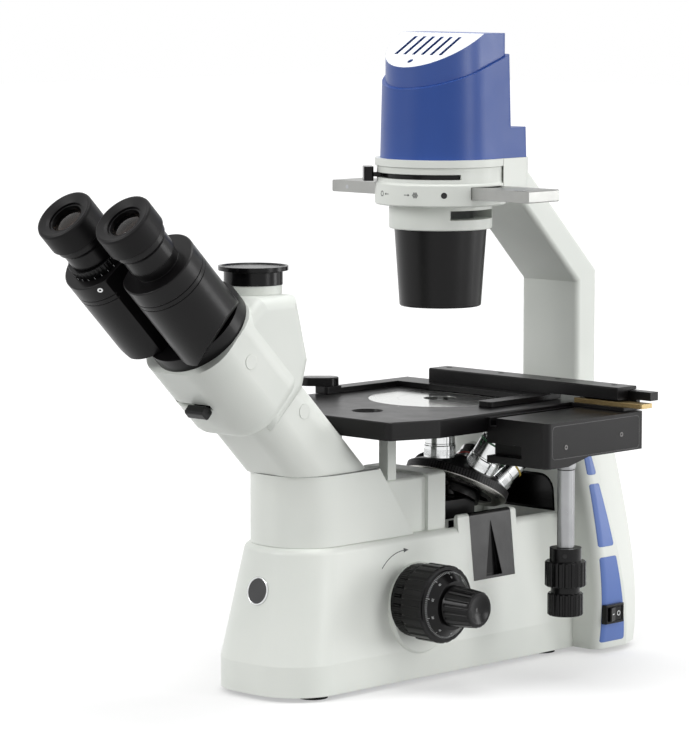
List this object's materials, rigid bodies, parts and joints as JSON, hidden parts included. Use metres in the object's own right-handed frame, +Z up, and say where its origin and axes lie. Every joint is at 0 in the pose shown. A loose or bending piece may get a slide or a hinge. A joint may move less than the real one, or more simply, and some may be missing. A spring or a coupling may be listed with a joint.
{
  "type": "inverted microscope",
  "caption": "Inverted trinocular microscope with a tall lamp pillar, phase slider, fixed stage with a driven plate holder and coaxial focus knobs under the stage",
  "frame": {"origin": "On the bench top, straight below the optical axis of the condenser, stage hole and active objective.", "axes": "+Z up along the optical axis; -Y towards the observer, where the eyepieces point; +X to the observer's right, where the stage drive and the power switch are."},
  "size_m": [0.275, 0.5291, 0.481],
  "materials": {
    "white_paint": "satin",
    "black_metal": "satin",
    "black_plastic": "satin",
    "blue_plastic": "satin",
    "blue_panel": "satin",
    "rubber": "matte",
    "chrome": "polished",
    "steel": "satin",
    "aluminium": "satin",
    "insert_white": "satin",
    "brass": "satin",
    "glass": "polished",
    "mirror": "polished"
  },
  "bodies": {
    "stand": {"base_casting": "white_paint", "neck_cover": "white_paint", "neck_elbow": "white_paint", "head_housing": "white_paint", "blind_plugs": "white_paint", "camera_port": "white_paint", "rear_tower": "white_paint", "lamp_arm": "white_paint", "condenser_carrier": "white_paint", "stage_pedestal": "white_paint", "stage_plate": "black_metal", "drive_housing": "black_metal", "drive_cover": "black_metal", "condenser_cone": "black_metal", "bearing_plate": "black_metal", "filter_slot_cover": "black_plastic", "recess_liner": "black_plastic", "switch_frame": "black_plastic", "mains_inlet": "black_plastic", "front_medallion": "black_plastic", "lamp_housing": "blue_plastic", "lamp_cap": "blue_plastic", "side_panels": "blue_panel", "rubber_feet": "rubber", "drive_sleeve": "chrome", "base_plate": "steel", "lamp_module": "aluminium", "stage_insert": "insert_white", "insert_centre": "insert_white", "condenser_lens": "glass", "folding_mirror": "mirror"},
    "right_eyepiece_arm": {"right_prism_housing": "black_metal", "right_eyepiece": "black_metal", "right_eyecup": "rubber", "right_eye_lens": "glass"},
    "left_eyepiece_arm": {"left_prism_housing": "black_metal", "left_eyepiece": "black_metal", "left_eyecup": "rubber", "left_eye_lens": "glass"},
    "dioptre": {"dioptre_ring": "black_plastic"},
    "light_path": {"light_path_lever": "black_plastic"},
    "dust_cap": {"port_cap": "black_plastic"},
    "diaphragm": {"aperture_lever": "black_plastic"},
    "phase": {"phase_slider": "aluminium"},
    "rocker": {"switch_rocker": "black_plastic"},
    "brightness": {"brightness_knob": "black_plastic"},
    "coarse": {"coarse_knobs": "black_plastic", "coarse_shaft": "steel"},
    "fine": {"fine_focus": "black_plastic"},
    "tension": {"tension_ring": "black_plastic"},
    "nosepiece": {"nosepiece_carrier": "black_metal"},
    "revolver": {"turret": "black_metal", "objectives": "chrome"},
    "long_drive": {"long_travel_knob": "black_plastic"},
    "cross_drive": {"cross_travel_knob": "black_plastic"},
    "long_carriage": {"cross_rail": "black_metal", "cross_rack": "brass"},
    "cross_carriage": {"carriage_bar": "black_metal", "plate_holder": "black_metal"},
    "clamp": {"clamp_lever": "black_plastic"}
  },
  "joints": [
    {"name": "right_tube_swing", "type": "hinge", "parent": "stand", "child": "right_eyepiece_arm", "pos_m": [0, -0.25751, 0.29404], "axis": [0, -0.7071, 0.7071], "range_deg": [-11, 37]},
    {"name": "left_tube_swing", "type": "hinge", "parent": "stand", "child": "left_eyepiece_arm", "pos_m": [0, -0.25751, 0.29404], "axis": [0, -0.7071, 0.7071], "range_deg": [-37, 11]},
    {"name": "dioptre_turn", "type": "hinge", "parent": "left_eyepiece_arm", "child": "dioptre", "pos_m": [-0.03, -0.32598, 0.33022], "axis": [0, -0.7071, 0.7071], "range_deg": [-150, 150]},
    {"name": "light_path_slide", "type": "slide", "parent": "stand", "child": "light_path", "axis": [-1, 0, 0], "range_m": [0, 0.016]},
    {"name": "port_cap_lift", "type": "slide", "parent": "stand", "child": "dust_cap", "axis": [0, 0, 1], "range_m": [0, 0.03]},
    {"name": "diaphragm_turn", "type": "hinge", "parent": "stand", "child": "diaphragm", "pos_m": [0, 0, 0.3743], "axis": [0, 0, 1], "range_deg": [0, 97]},
    {"name": "phase_slide", "type": "slide", "parent": "stand", "child": "phase", "axis": [1, 0, 0], "range_m": [-0.045, 0.045]},
    {"name": "switch_rock", "type": "hinge", "parent": "stand", "child": "rocker", "pos_m": [0.0809, 0.111, 0.032], "axis": [0, 0, 1], "range_deg": [-20, 0]},
    {"name": "brightness_turn", "type": "hinge", "parent": "stand", "child": "brightness", "pos_m": [-0.0805, 0.111, 0.032], "axis": [-1, 0, 0], "range_deg": [-135, 135]},
    {"name": "coarse_turn", "type": "hinge", "parent": "stand", "child": "coarse", "pos_m": [0, -0.084, 0.064], "axis": [1, 0, 0], "range_deg": [-52, 12]},
    {"name": "focus_lift", "type": "slide", "parent": "stand", "child": "nosepiece", "axis": [0, 0, 1], "range_m": [-0.0055, 0.0013]},
    {"name": "fine_turn", "type": "hinge", "parent": "stand", "child": "fine", "pos_m": [0, -0.084, 0.064], "axis": [1, 0, 0], "continuous": true},
    {"name": "tension_turn", "type": "hinge", "parent": "stand", "child": "tension", "pos_m": [0.057, -0.084, 0.064], "axis": [1, 0, 0], "range_deg": [0, 90]},
    {"name": "nosepiece_turn", "type": "hinge", "parent": "nosepiece", "child": "revolver", "pos_m": [0, 0.02043, 0.13862], "axis": [0, 0.454, 0.891], "continuous": true},
    {"name": "long_knob_turn", "type": "hinge", "parent": "stand", "child": "long_drive", "pos_m": [0.1195, 0.009, 0.1], "axis": [0, 0, 1], "range_deg": [-349.55, 20.1]},
    {"name": "cross_knob_turn", "type": "hinge", "parent": "stand", "child": "cross_drive", "pos_m": [0.1195, 0.009, 0.06], "axis": [0, 0, 1], "range_deg": [-344.77, 115.59]},
    {"name": "long_travel", "type": "slide", "parent": "stand", "child": "long_carriage", "axis": [0, 1, 0], "range_m": [-0.073, 0.004]},
    {"name": "cross_travel", "type": "slide", "parent": "long_carriage", "child": "cross_carriage", "axis": [1, 0, 0], "range_m": [-0.06, 0.02]},
    {"name": "clamp_swing", "type": "hinge", "parent": "cross_carriage", "child": "clamp", "pos_m": [-0.083, -0.037, 0.211], "axis": [0, 0, 1], "range_deg": [0, 35], "stiffness_Nm_per_rad": 0.02}
  ],
  "couplings": [
    {"joint": "left_tube_swing", "follows": "right_tube_swing", "ratio": -1},
    {"joint": "focus_lift", "follows": "coarse_turn", "m_per_rad": 0.006},
    {"joint": "long_knob_turn", "follows": "long_travel", "rad_per_m": 83.333},
    {"joint": "cross_knob_turn", "follows": "cross_travel", "rad_per_m": 100}
  ]
}
